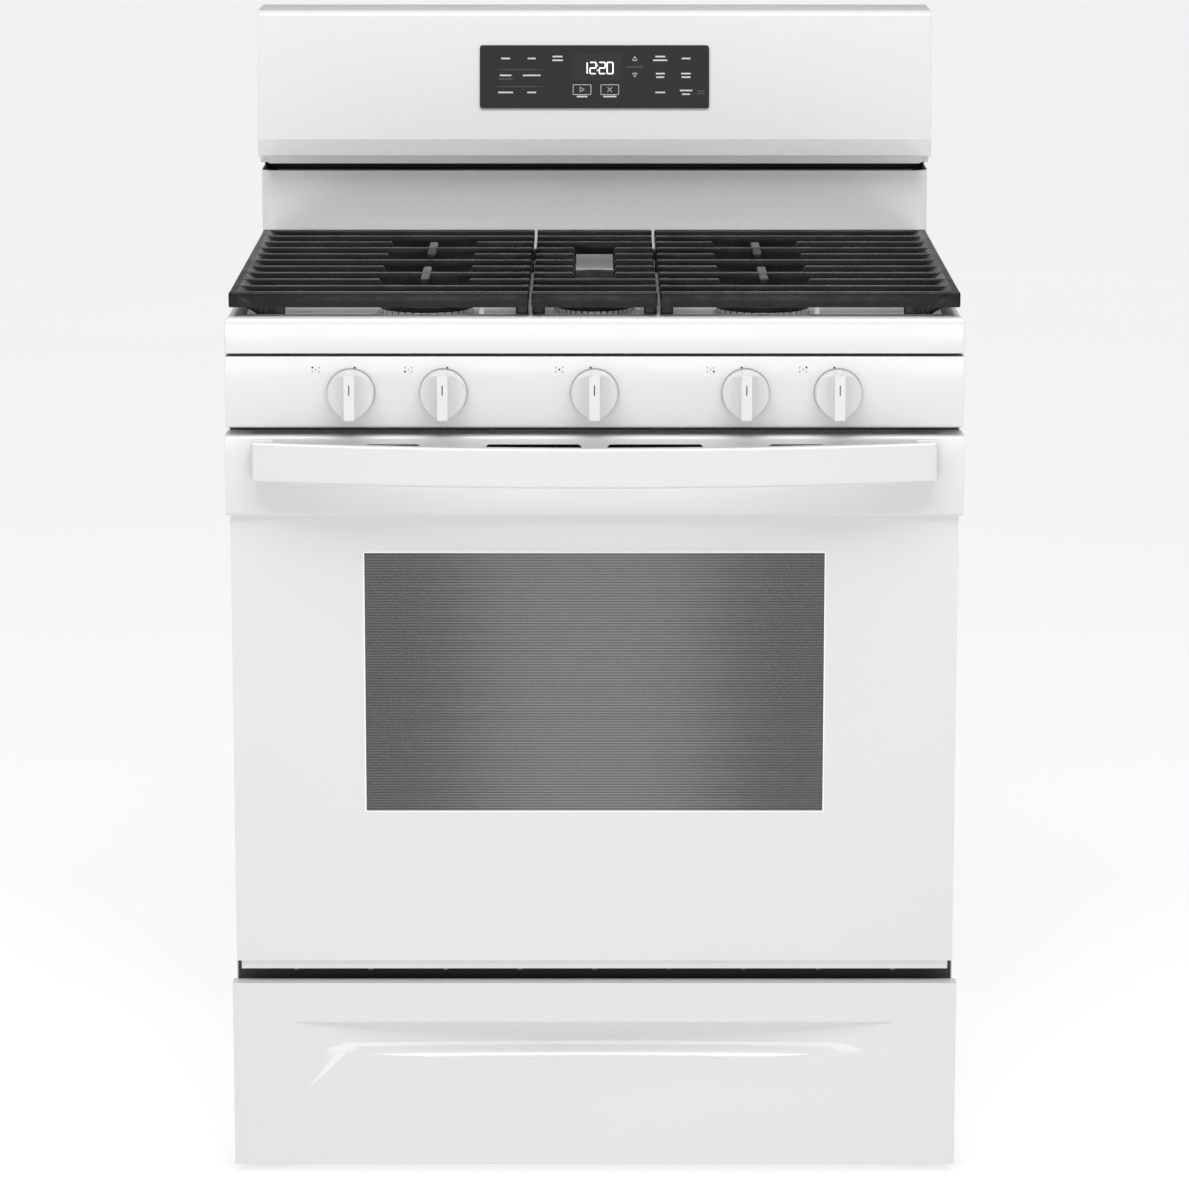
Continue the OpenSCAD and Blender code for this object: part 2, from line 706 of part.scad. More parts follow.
module slot_cut(x, y) {
    box([x[0] + 4.5, x[1] - 4.5], y, [slot_z, slot_z + 9]);
    for (c = [x[0] + 4.5, x[1] - 4.5]) along_y([c, y[0], slot_z + 4.5], 4.5, y[1] - y[0]);
}

module door_top_trim() {
    form = [[0, trim_z, 3], [liner_y, trim_z, 0], [liner_y, door_z[1], 0], [0, door_z[1], 3]];
    color("white") placed() difference() {
        across(range_w) polygon(rounded(form));
        across(range_w - 2 * sheet) polygon(rounded(inset(form, sheet)));
        box([-half_w + sheet, half_w - sheet], [liner_y - 2 * sheet, liner_y + cut],
            [trim_z + sheet, door_z[1] - sheet]);
        both_sides() {
            slot_cut([13, 112], [-cut, 10]);
            slot_cut([178.5, 237], [-cut, 10]);
        }
    }
}

module door_glass() {
    color("white") placed()
        box([-half_w + 4.2, half_w - 4.2], [6, 6 + glass_t], [door_z[0] + strip_h, trim_z]);
}

module door_frame() {
    back = 6 + glass_t;
    color("white") placed() difference() {
        union() {
            difference() {
                box([-half_w + 6, half_w - 6], [back, liner_y], [door_z[0] + strip_h, trim_z]);
                box([-ring_x, ring_x], [back - cut, liner_y + cut], [door_z[0] + 12, trim_z - 8]);
                both_sides()
                    box([ring_x + sheet, half_w - 6 - sheet], [back + sheet, liner_y + cut],
                        [door_z[0] + 14, trim_z - 8]);
            }
            box([-half_w + 9, half_w - 9], [8, liner_y - 8], [door_z[0], door_z[0] + strip_h]);
        }
        box([-half_w + 11, half_w - 11], [10 + sheet, liner_y - 8 + cut],
            [door_z[0] + sheet, door_z[0] + strip_h - sheet]);
        both_sides()
            box([hinge_x - 8, hinge_x + 8], [pivot[0] - claw_r - 0.8, liner_y + cut],
                [door_z[0] - cut, door_z[0] + 12 + cut]);
    }
}

module door_inner_glass() {
    color("lightsteelblue") placed()
        box([-window_w / 2 - 14, window_w / 2 + 14], [liner_y - glass_t, liner_y],
            [window_z[0] - 14, window_z[1] + 14]);
}

module door_liner() {
    color("slategray") placed() difference() {
        box([-half_w + 8, half_w - 8], [liner_y, door_t], [pivot[1] + 13, door_z[1] - 4]);
        box([-window_w / 2, window_w / 2], [liner_y - cut, door_t + cut], window_z);
    }
}

module door_gasket() {
    color("#303030") placed() through([door_t, frame_y - run_gap]) difference() {
        polygon(rounded([[-oven_x - 18, oven_z[0] - 20, 24], [oven_x + 18, oven_z[0] - 20, 24],
            [oven_x + 18, oven_z[1] + 20, 24], [-oven_x - 18, oven_z[1] + 20, 24]]));
        polygon(rounded([[-oven_x - 10, oven_z[0] - 12, 16], [oven_x + 10, oven_z[0] - 12, 16],
            [oven_x + 10, oven_z[1] + 12, 16], [-oven_x - 10, oven_z[1] + 12, 16]]));
    }
}

// Outline of the bowed bar: front arc through the ends and the middle, and the arc behind it
bow = handle_out - handle_end;
bow_r = (handle_x * handle_x + bow * bow) / (2 * bow);
function bow_point(x, r) = [x, bow_r - handle_out - sqrt(r * r - x * x)];
module door_handle() {
    inner_x = handle_x - 22;
    color("white") placed() translate([0, 0, handle_z[0]]) linear_extrude(height = handle_h)
    polygon(concat([for (i = [-16:16]) bow_point(handle_x * i / 16, bow_r)], [[handle_x, 0], [inner_x, 0]],
        [for (i = [16:-1:-16]) bow_point(inner_x * i / 16, bow_r - handle_t)],
        [[-inner_x, 0], [-handle_x, 0]]));
}

module door_hinges() {
    color("silver") placed() both_sides() {
        box([hinge_x - 6.5, hinge_x - 4], [pivot[0] - 7, liner_y], [pivot[1] - 6, pivot[1] + 140]);
        box([hinge_x + 4, ring_x], [pivot[0] - 7, liner_y], [pivot[1] - 6, pivot[1] + 140]);
        box([hinge_x - 6.5, ring_x], [pivot[0] - 7, pivot[0] - 5], [pivot[1] + 22, pivot[1] + 140]);
        across(14.5, hinge_x + 0.75) translate(pivot) circle(r = pin_r);
    }
}

// ---- drawer ----

// The finger scoop: the rim of a wide wheel, so that it runs out to a point at each end
scoop_z = [drawer_z[1] - 82.5, drawer_z[1] - 42.5];
scoop_deep = 12;
scoop_reach = half_w - 62.5;
module scoop(g) {
    wheel = (scoop_reach * scoop_reach + scoop_deep * scoop_deep) / (2 * scoop_deep);
    arc_h = scoop_z[1] - scoop_z[0] - 17;
    translate([0, scoop_deep - wheel, scoop_z[0]]) rotate([0, 0, 84])
    rotate_extrude(angle = 12, $fn = 720)
    polygon(concat([[wheel - 20, arc_h + 17 + g], [wheel + g, arc_h + 17 + g]],
        [for (a = [0:10:90])
            [wheel + g - (scoop_deep + g + 2) * (1 - cos(a)), arc_h * (1 - sin(a)) - g * sin(a)]],
        [[wheel - 20, -g]]));
}

module drawer_front() {
    color("white") placed() difference() {
        box([-half_w, half_w], [0, front_t], drawer_z);
        scoop(0);
        difference() {
            box([-half_w + sheet, half_w - sheet], [sheet, front_t + cut],
                [drawer_z[0] + sheet, drawer_z[1] - sheet]);
            scoop(sheet);
        }
    }
}

module drawer_pan() {
    y = [front_t, front_t + pan_d];
    color("gray") placed() difference() {
        union() {
            box([-pan_w / 2, pan_w / 2], y, pan_z);
            box([-half_w + 0.5, half_w - 0.5], [y[0], y[0] + sheet],
                [drawer_z[0] + 0.5, drawer_z[1] - 0.5]);
        }
        box([-pan_w / 2 + sheet, pan_w / 2 - sheet], [y[0] + sheet, y[1] - sheet],
            [pan_z[0] + sheet, pan_z[1] + cut]);
    }
}

module drawer_slides() {
    color("silver") placed() both_sides() {
        box([pan_w / 2, pan_w / 2 + sheet], [front_t + 16, front_t + pan_d - 4], [slide_z - 10, slide_z + 10]);
        for (y = [rail_back - 60, rail_back - 20])
            translate([pan_w / 2 + sheet, y, slide_z]) rotate([0, 90, 0])
            cylinder(r = roller_r, h = rail_x - pan_w / 2 - 2 * sheet - 1);
    }
}

// ---- oven racks ----

module rack(level) {
    z = rack_z(level) + run_gap + rack_rod_r;
    count = 18;
    step = 2 * (rack_x - rack_rod_r) / count;
    for (x = [-rack_x + rack_rod_r, rack_x - rack_rod_r]) rod([x, rack_y[0], z], [x, rack_y[1], z], rack_rod_r);
    for (y = [rack_y[0] + 3, (rack_y[0] + rack_y[1]) / 2, rack_y[1] - 3])
        rod([-rack_x + 1.5, y, z], [rack_x - 1.5, y, z], rack_rod_r - 0.5);
    for (i = [1:count - 1])
        rod([-rack_x + rack_rod_r + i * step, rack_y[0] + 1, z + rack_rod_r - 0.5],
            [-rack_x + rack_rod_r + i * step, rack_y[1] - 1, z + rack_rod_r - 0.5], rack_wire_r);
}

module upper_rack() {
    color("silver") placed() rack(3);
}

module lower_rack() {
    color("silver") placed() rack(1);
}

// ---- grates ----

// A bar along x whose top edge falls at each end by [run, drop]
blunt = [1, 1];
tip = [3, 3];
module grate_bar(x, y, left, right) {
    top = grate_z[1];
    through([y, y + bar_w]) polygon([[x[0], top - bar_h], [x[1], top - bar_h], [x[1], top - right[1]],
        [x[1] - right[0], top], [x[0] + left[0], top], [x[0], top - left[1]]]);
}

module side_grate() {
    x = [grate_split + 1.5, grate_x];
    gap = 44.5;
    low = grate_z[1] - bar_h - 1.5;
    rail_z = grate_z[1] - rail_drop;
    for (y = [grate_y[0], grate_y[1] - rail_w]) box(x, [y, y + rail_w], [low, grate_z[1]]);
    box([x[0], x[0] + 10], grate_y, [low, grate_z[1]]);
    through(grate_y) polygon([[x[1] - outer_rail_w, low], [x[1], low], [x[1], grate_z[1]],
        [x[1] - rail_flat, grate_z[1]], [x[1] - outer_rail_w, rail_z]]);
    for (k = [1:9]) {
        y = grate_y[0] + k * grate_pitch + 0.5;
        if (k % 2 == 1) grate_bar([x[0] + 5, x[1] - 5], y, blunt, blunt);
        else {
            grate_bar([x[0] + 5, burner_x - gap], y, blunt, tip);
            grate_bar([burner_x + gap, x[1] - 5], y, tip, blunt);
        }
    }
    for (y = rows)
        box([burner_x - 4.75, burner_x + 4.75], [y - 50, y + 50], [grate_z[1] - bar_h + 1, grate_z[1]]);
    for (y = foot_rows) {
        box([x[0], x[0] + 13.5], [y, y + 10], [deck_z, grate_z[1] - 1]);
        through([y, y + 10]) polygon([[x[1] - 56, rail_z], [x[1] - 56, deck_z], [x[1] - 42, deck_z],
            [x[1] - 40, deck_z + 9], [x[1] - 32, deck_z + 19], [x[1] - 18, low - 4],
            [x[1], low], [x[1], rail_z]]);
    }
}

module right_grate() {
    color("#202022") placed() side_grate();
}

module left_grate() {
    color("#202022") placed() mirror([1, 0, 0]) side_grate();
}

module centre_grate() {
    x = grate_split - 1.5;
    low = grate_z[1] - bar_h - 1.5;
    color("#202022") placed() {
        for (y = [grate_y[0], grate_y[1] - rail_w]) box([-x, x], [y, y + rail_w], [low, grate_z[1]]);
        both_sides() {
            box([x - 10, x], grate_y, [low, grate_z[1]]);
            box([x - 1, x + 2.6], [lug_y, lug_y + 12], [low + 2, grate_z[1] - 1]);
            for (y = foot_rows) box([x - 13.5, x], [y, y + 10], [deck_z, grate_z[1] - 1]);
        }
        for (k = [1:9]) {
            y = grate_y[0] + k * grate_pitch + 0.5;
            if (k < 3 || k > 7) grate_bar([-x + 5, x - 5], y, blunt, blunt);
            else both_sides() grate_bar([20, x - 5], y, tip, blunt);
        }
    }
}

// ---- knobs ----

module valve_plunger(i) {
    color("silver") placed()
        along_y([knob_xs[i], knob_front + 14, panel_mid], stem_d / 2, stem_end - knob_front - 14);
}

module knob(i) {
    l = knob_back - knob_front;
    flank = 30;
    color("whitesmoke") placed() translate([knob_xs[i], knob_back, panel_mid]) rotate([90, 0, 0]) difference() {
        union() {
            cylinder(r = knob_d / 2, h = 5);
            translate([0, 0, 5]) cylinder(r = knob_d / 2 - 1.2, h = l - 5);
        }
        for (s = [-1, 1]) translate([s * (grip_w / 2 + flank), 0, l]) rotate([90, 0, 0])
            cylinder(r = flank, h = knob_d + 2, center = true);
        translate([0, 0, -cut]) cylinder(r = stem_d / 2 + fit_gap, h = l - 13 + cut);
    }
}

module valve_plunger_1() {
    valve_plunger(0);
}
module valve_plunger_2() {
    valve_plunger(1);
}
module valve_plunger_3() {
    valve_plunger(2);
}
module valve_plunger_4() {
    valve_plunger(3);
}
module valve_plunger_5() {
    valve_plunger(4);
}
module knob_1() {
    knob(0);
}
module knob_2() {
    knob(1);
}
module knob_3() {
    knob(2);
}
module knob_4() {
    knob(3);
}
module knob_5() {
    knob(4);
}

levelling_feet();
base_frame();
side_panels();
rear_panel();
front_frame();
oven_liner();
oven_back_wall();
oven_floor();
burner_pan();
oven_insulation();
oven_burners();
fan_cover();
fan_motor();
oven_lamp();
drawer_rails();
cooktop();
burner_heads();
igniters();
burner_tubes();
gas_manifold();
gas_valves();
gas_inlet();
control_panel();
backguard_riser();
backguard_console();
flue_duct();
control_glass();
power_inlet();
hinge_receivers();
panel_screws();
door_top_trim();
door_glass();
door_frame();
door_inner_glass();
door_liner();
door_gasket();
door_handle();
door_hinges();
drawer_front();
drawer_pan();
drawer_slides();
upper_rack();
lower_rack();
fan_wheel();
left_grate();
centre_grate();
right_grate();
left_caps();
centre_cap();
right_caps();
valve_plunger_1();
valve_plunger_2();
valve_plunger_3();
valve_plunger_4();
valve_plunger_5();
knob_1();
knob_2();
knob_3();
knob_4();
knob_5();
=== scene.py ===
import json
import math

import bmesh
import bpy
import numpy as np
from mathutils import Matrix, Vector


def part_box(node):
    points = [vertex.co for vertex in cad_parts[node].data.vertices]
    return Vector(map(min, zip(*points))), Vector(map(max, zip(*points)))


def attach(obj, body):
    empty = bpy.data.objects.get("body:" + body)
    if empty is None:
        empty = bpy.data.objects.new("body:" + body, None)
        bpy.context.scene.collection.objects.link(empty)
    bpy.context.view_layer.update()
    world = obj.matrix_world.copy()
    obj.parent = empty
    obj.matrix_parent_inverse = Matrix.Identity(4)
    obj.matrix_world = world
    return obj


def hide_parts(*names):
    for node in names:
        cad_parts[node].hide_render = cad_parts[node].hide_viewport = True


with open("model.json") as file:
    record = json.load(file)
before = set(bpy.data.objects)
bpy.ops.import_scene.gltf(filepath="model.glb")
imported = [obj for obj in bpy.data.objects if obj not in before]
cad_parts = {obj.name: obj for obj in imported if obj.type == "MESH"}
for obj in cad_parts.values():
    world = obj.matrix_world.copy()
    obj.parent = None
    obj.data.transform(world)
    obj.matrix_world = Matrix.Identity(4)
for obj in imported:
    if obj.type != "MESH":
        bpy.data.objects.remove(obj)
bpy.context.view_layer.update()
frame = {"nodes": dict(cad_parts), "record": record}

nodes = frame["nodes"]
bodyOf = {n: b for b, ns in frame["record"]["behaviour"]["bodies"].items() for n in ns}
slotOf = {s["node"]: s["material_slot"] for s in frame["record"]["subparts"]}


class Wire:
    # a shader socket that sums like a number: every operator adds one Math node
    def __init__(self, finish, socket):
        self.finish, self.socket = finish, socket

    def calc(self, operation, *values):
        return self.finish.node("ShaderNodeMath", {"operation": operation}, dict(enumerate(values)))

    def __add__(self, other):
        return self.calc("ADD", self, other)

    def __sub__(self, other):
        return self.calc("SUBTRACT", self, other)

    def __rsub__(self, other):
        return self.calc("SUBTRACT", other, self)

    def __mul__(self, other):
        return self.calc("MULTIPLY", self, other)

    def __truediv__(self, other):
        return self.calc("DIVIDE", self, other)

    def __lt__(self, other):
        return self.calc("LESS_THAN", self, other)

    def __gt__(self, other):
        return self.calc("GREATER_THAN", self, other)

    def __abs__(self):
        return self.calc("ABSOLUTE", self)

    __radd__ = __add__
    __rmul__ = __mul__

    def sine(self):
        return self.calc("SINE", self)

    def fraction(self):
        return self.calc("FRACT", self)

    def most(self, other):
        return self.calc("MAXIMUM", self, other)

    def ramp(self, low, high, start=0.0, end=1.0):
        # start below low, end above high, a smooth step between
        return self.finish.node("ShaderNodeMapRange", {"interpolation_type": "SMOOTHSTEP"},
                                {0: self, 1: low, 2: high, 3: start, 4: end})


class Finish:
    # one material: a Principled shader and what feeds it
    def __init__(self, name, **numbers):
        self.material = bpy.data.materials.new(name)
        self.material.use_nodes = True
        self.tree = self.material.node_tree
        self.shader = self.tree.nodes["Principled BSDF"]
        for key, value in numbers.items():
            socket = self.shader.inputs[socketNames[key]]
            socket.default_value = (*value, 1.0) if isinstance(value, tuple) else value
        self.coords = self.node("ShaderNodeTexCoord", {}, {}, "Object")

    def node(self, kind, settings, sockets, out=0):
        made = self.tree.nodes.new(kind)
        for key, value in settings.items():
            setattr(made, key, value)
        for key, value in sockets.items():
            if isinstance(value, Wire):
                self.tree.links.new(value.socket, made.inputs[key])
            else:
                isColour = made.inputs[key].type == "RGBA" and len(value) == 3
                made.inputs[key].default_value = (*value, 1.0) if isColour else value
        return Wire(self, made.outputs[out])

    def feed(self, name, wire):
        self.tree.links.new(wire.socket, self.shader.inputs[name])
        return self

    def xyz(self):
        return [self.node("ShaderNodeSeparateXYZ", {}, {0: self.coords}, axis) for axis in range(3)]

    def noise(self, scale, detail=2.0, rough=0.5, stretch=None):
        at = self.coords
        if stretch:
            at = self.node("ShaderNodeMapping", {}, {0: self.coords, 3: stretch})
        sockets = {"Vector": at, "Scale": scale, "Detail": detail, "Roughness": rough}
        return self.node("ShaderNodeTexNoise", {}, sockets)

    def blend(self, factor, first, second):
        return self.node("ShaderNodeMix", {"data_type": "RGBA"}, {0: factor, 6: first, 7: second}, 2)

    def bump(self, height, distance, strength=1.0, edge=0.0):
        sockets = {"Height": height, "Distance": distance, "Strength": strength}
        if edge:
            sockets["Normal"] = self.node("ShaderNodeBevel", {"samples": 4}, {0: edge})
        return self.feed("Normal", self.node("ShaderNodeBump", {}, sockets))


socketNames = {"rough": "Roughness", "metal": "Metallic", "coat": "Coat Weight",
               "coatRough": "Coat Roughness", "ior": "IOR", "specular": "Specular IOR Level",
               "sheen": "Sheen Weight", "alpha": "Alpha", "glow": "Emission Strength",
               "glowColour": "Emission Color"}


def darker(colour, share):
    return tuple(c * share for c in colour)


def enamel(name, colour, rough=0.16, edge=0.0008):
    # sprayed and baked gloss: faint orange peel, a little uneven gloss and tone
    f = Finish(name, coat=0.35, coatRough=0.06, ior=1.5)
    cloud = f.noise(3.0, 3.0)
    tone = cloud.ramp(0.3, 0.7, 0.975, 1.0)
    f.feed("Base Color", f.blend(tone, darker(colour, 0.6), colour))
    f.feed("Roughness", f.noise(9.0, 4.0).ramp(0.3, 0.7, rough - 0.03, rough + 0.05))
    f.bump(f.noise(420.0, 2.0), 0.00004, 0.35, edge)
    return f.material


def castEnamel(name, colour, grain, rough, edge=0.0009):
    # rough iron casting under matt black porcelain, a little polished where pans rub
    f = Finish(name, ior=1.5, specular=0.28)
    worn = f.noise(38.0, 5.0, 0.62)
    f.feed("Base Color", f.blend(worn.ramp(0.35, 0.75), colour, tuple(c * 1.9 + 0.004 for c in colour)))
    f.feed("Roughness", worn.ramp(0.3, 0.75, rough + 0.08, rough - 0.08))
    f.bump(f.noise(grain, 3.0, 0.6), 0.00012, 0.5, edge)
    return f.material


def speckledEnamel(name, colour, speck):
    # dark oven enamel with a pale speck in about one cell of four
    f = Finish(name, coat=0.3, coatRough=0.1)
    cells = f.node("ShaderNodeTexVoronoi", {}, {"Vector": f.coords, "Scale": 520.0})
    tint = f.node("ShaderNodeTexVoronoi", {}, {"Vector": f.coords, "Scale": 520.0}, "Color")
    seldom = f.node("ShaderNodeSeparateColor", {}, {0: tint})
    mask = (cells < 0.22) * (seldom > 0.72)
    f.feed("Base Color", f.blend(mask, colour, speck))
    f.feed("Roughness", f.noise(14.0, 3.0).ramp(0.3, 0.7, 0.2, 0.34))
    f.bump(f.noise(260.0), 0.00005, 0.4, 0.0006)
    return f.material


def zincSheet(name, colour, rough):
    # galvanised spangle: flat crystals of slightly different tone and gloss
    f = Finish(name, metal=1.0)
    spangle = f.node("ShaderNodeTexVoronoi", {}, {"Vector": f.coords, "Scale": 90.0}, "Color")
    shade = f.node("ShaderNodeSeparateColor", {}, {0: spangle})
    f.feed("Base Color", f.blend(shade, darker(colour, 0.78), colour))
    f.feed("Roughness", shade.ramp(0.0, 1.0, rough - 0.08, rough + 0.08))
    f.bump(f.noise(60.0, 4.0), 0.00008, 0.3, 0.0005)
    return f.material


def metal(name, colour, rough, grain=180.0, stretch=None, depth=0.00005):
    f = Finish(name, metal=1.0)
    grainWire = f.noise(grain, 3.0, 0.55, stretch=stretch)
    f.feed("Base Color", f.blend(f.noise(22.0, 3.0).ramp(0.3, 0.7), darker(colour, 0.82), colour))
    f.feed("Roughness", grainWire.ramp(0.3, 0.7, rough - 0.07, rough + 0.08))
    f.bump(grainWire, depth, 0.4, 0.0004)
    return f.material


def satin(name, colour, rough, grain=600.0):
    f = Finish(name)
    f.feed("Base Color", f.blend(f.noise(30.0, 3.0).ramp(0.3, 0.7), darker(colour, 0.85), colour))
    f.feed("Roughness", f.noise(16.0, 3.0).ramp(0.3, 0.7, rough - 0.06, rough + 0.06))
    f.bump(f.noise(grain), 0.00004, 0.4, 0.0006)
    return f.material


def darkGlass(name, colour, rough=0.04):
    f = Finish(name, coat=1.0, coatRough=0.02, ior=1.52)
    smear = f.noise(7.0, 4.0, 0.6)
    f.feed("Base Color", f.blend(smear.ramp(0.3, 0.7), colour, darker(colour, 1.4)))
    f.feed("Roughness", smear.ramp(0.35, 0.7, rough, rough + 0.03))
    return f.material


def clearGlass(name, colour, alpha):
    f = Finish(name, ior=1.5, alpha=alpha)
    smear = f.noise(6.0, 4.0, 0.6)
    f.feed("Base Color", f.blend(smear, colour, darker(colour, 0.92)))
    f.feed("Roughness", smear.ramp(0.35, 0.75, 0.02, 0.07))
    return f.material


def wool(name, colour):
    f = Finish(name, sheen=0.3, rough=0.9)
    fluff = f.noise(85.0, 6.0, 0.7)
    f.feed("Base Color", f.blend(fluff.ramp(0.3, 0.7), darker(colour, 0.7), colour))
    f.bump(fluff, 0.0016, 0.8)
    return f.material


def braid(name, colour):
    # strands crossing on the slant: sine waves 2 pi / 2200 m long, just under 3 mm
    f = Finish(name, rough=0.85, sheen=0.2)
    x, y, z = f.xyz()
    weave = ((x + z) * 2200.0).sine().most(((x - z) * 2200.0).sine())
    f.feed("Base Color", f.blend(weave.ramp(-0.2, 1.0), darker(colour, 0.45), colour))
    f.bump(weave, 0.0005, 0.8)
    return f.material


white = (0.70, 0.705, 0.71)
finishes = {
    "white_enamel": enamel("whiteEnamel", white),
    "black_enamel": castEnamel("blackGrateEnamel", (0.004, 0.004, 0.0045), 900.0, 0.3),
    "grey_enamel": speckledEnamel("speckledOvenEnamel", (0.035, 0.042, 0.055), (0.35, 0.38, 0.42)),
    "dark_paint": satin("darkGreyPaint", (0.035, 0.035, 0.037), 0.45),
    "zinc_steel": zincSheet("galvanisedSteel", (0.62, 0.63, 0.64), 0.38),
    "door_glass": enamel("whiteBackedGlass", white, 0.05),
    "inner_glass": clearGlass("clearGlass", (0.8, 0.85, 0.86), 0.3),
    "black_glass": darkGlass("blackControlGlass", (0.006, 0.006, 0.007)),
    "rack_wire": metal("brightRackWire", (0.75, 0.75, 0.76), 0.16),
    "burner_aluminium": metal("castBurnerAluminium", (0.62, 0.62, 0.6), 0.42, 700.0, depth=0.0002),
    "tube_aluminium": metal("aluminiumTube", (0.72, 0.72, 0.72), 0.28),
    "manifold_steel": metal("platedSteel", (0.5, 0.5, 0.52), 0.3),
    "valve_brass": metal("machinedBrass", (0.72, 0.55, 0.27), 0.26),
    "knob_plastic": enamel("whiteKnobPlastic", (0.70, 0.70, 0.705), 0.2, 0.0006),
    "glass_fibre": wool("glassFibreWool", (0.72, 0.64, 0.4)),
    "gasket_braid": braid("braidedGasket", (0.16, 0.16, 0.17)),
    "spark_ceramic": satin("sparkCeramic", (0.8, 0.77, 0.7), 0.4),
    "black_plastic": satin("blackPlastic", (0.02, 0.02, 0.021), 0.42),
    "lamp_glass": clearGlass("lampGlass", (0.95, 0.92, 0.82), 0.55),
}
for name, cadNode in nodes.items():
    cadNode.data.materials.clear()
    cadNode.data.materials.append(finishes[slotOf[name]])
print("finishes made:", len(finishes))


def addPiece(name, body, slotName, mesh, material=None):
    piece = bpy.data.objects.new(name, mesh)
    bpy.context.scene.collection.objects.link(piece)
    piece.data.materials.clear()
    piece.data.materials.append(material or finishes[slotName])
    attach(piece, body)
    return piece


def shadeByAngle(mesh, degrees=35.0):
    mesh.shade_smooth()
    work = bmesh.new()
    work.from_mesh(mesh)
    for edge in work.edges:
        if len(edge.link_faces) == 2:
            edge.smooth = edge.calc_face_angle(0.0) < math.radians(degrees)
    work.to_mesh(mesh)
    work.free()


def softened(node, width):
    # a copy of a CAD node with its sharp edges rounded off by width
    work = bmesh.new()
    work.from_mesh(nodes[node].data)
    bmesh.ops.remove_doubles(work, verts=work.verts, dist=1e-6)
    bmesh.ops.dissolve_limit(work, angle_limit=math.radians(0.4), verts=work.verts, edges=work.edges)
    mesh = bpy.data.meshes.new(node + "Soft")
    work.to_mesh(mesh)
    work.free()
    piece = addPiece(node + "Soft", bodyOf[node], slotOf[node], mesh)
    bevel = piece.modifiers.new("edges", "BEVEL")
    bevel.width, bevel.segments = width, 2
    bevel.limit_method, bevel.angle_limit = "ANGLE", math.radians(30.0)
    bevel.use_clamp_overlap = True
    bevel.harden_normals = True
    shadeByAngle(mesh)
    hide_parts(node)


def gridMesh(name, points):
    # points is a (rows, columns, 3) array; neighbours share quads and each row runs round to its start
    rows, columns = points.shape[:2]
    u, v = np.meshgrid(np.arange(rows - 1), np.arange(columns), indexing="ij")
    here, below = u * columns, (u + 1) * columns
    nextV = (v + 1) % columns
    quads = np.stack([here + v, below + v, below + nextV, here + nextV], axis=-1)
    mesh = bpy.data.meshes.new(name)
    mesh.from_pydata(points.reshape(-1, 3).tolist(), [], quads.reshape(-1, 4).tolist())
    return mesh


def solidOutline(work, outline, front, back, place):
    # prism over a closed (x, y) outline between two offsets; place turns (x, y, offset) into the frame
    ring = [[work.verts.new(place(x, y, offset)) for x, y in outline] for offset in (front, back)]
    count = len(outline)
    work.faces.new(ring[0])
    work.faces.new(ring[1][::-1])
    for i in range(count):
        work.faces.new([ring[0][i], ring[1][i], ring[1][(i + 1) % count], ring[0][(i + 1) % count]])


def flatShapes(name, outlines, front, back, place):
    work = bmesh.new()
    for outline in outlines:
        solidOutline(work, outline, front, back, place)
    bmesh.ops.recalc_face_normals(work, faces=work.faces)
    mesh = bpy.data.meshes.new(name)
    work.to_mesh(mesh)
    work.free()
    return mesh


def upright(x, z, depth):
    return (x, depth, z)


def rectangle(x, y, width, height):
    return [(x - width / 2, y - height / 2), (x + width / 2, y - height / 2),
            (x + width / 2, y + height / 2), (x - width / 2, y + height / 2)]


def roundedRectangle(x, y, width, height, radius, steps=6):
    turn = np.radians(np.linspace(0, 90, steps + 1))
    corners = [(1, 1, 0), (-1, 1, 1), (-1, -1, 2), (1, -1, 3)]
    points = []
    for sx, sy, quarter in corners:
        angle = turn + quarter * math.pi / 2
        points += [(x + sx * (width / 2 - radius) + radius * math.cos(a),
                    y + sy * (height / 2 - radius) + radius * math.sin(a)) for a in angle]
    return points


def disc(x, y, radius, steps=20):
    angle = np.linspace(0, 2 * math.pi, steps, endpoint=False)
    return [(x + radius * math.cos(a), y + radius * math.sin(a)) for a in angle]


def strokes(points, thick, closed=False):
    # bars of the given thickness along a chain of points, one outline each
    bars = []
    chain = list(points) + ([points[0]] if closed else [])
    for (ax, ay), (bx, by) in zip(chain, chain[1:]):
        length = math.hypot(bx - ax, by - ay)
        dx, dy = (bx - ax) / length * thick / 2, (by - ay) / length * thick / 2
        bars.append([(ax - dx - dy, ay - dy + dx), (ax - dx + dy, ay - dy - dx),
                     (bx + dx + dy, by + dy - dx), (bx + dx - dy, by + dy + dx)])
    return bars


# how far each node's sharp edges are rounded
softEdges = {"door_handle": 0.003, "control_panel": 0.0008, "door_top_trim": 0.001,
             "backguard_console": 0.0012, "backguard_riser": 0.0006, "drawer_front": 0.0015,
             "cooktop": 0.0012, "door_frame": 0.0008, "side_panels": 0.0005,
             **{f"knob_{i}": 0.0012 for i in range(1, 6)}}
for node, width in softEdges.items():
    softened(node, width)
print("softened pieces:", len(softEdges))


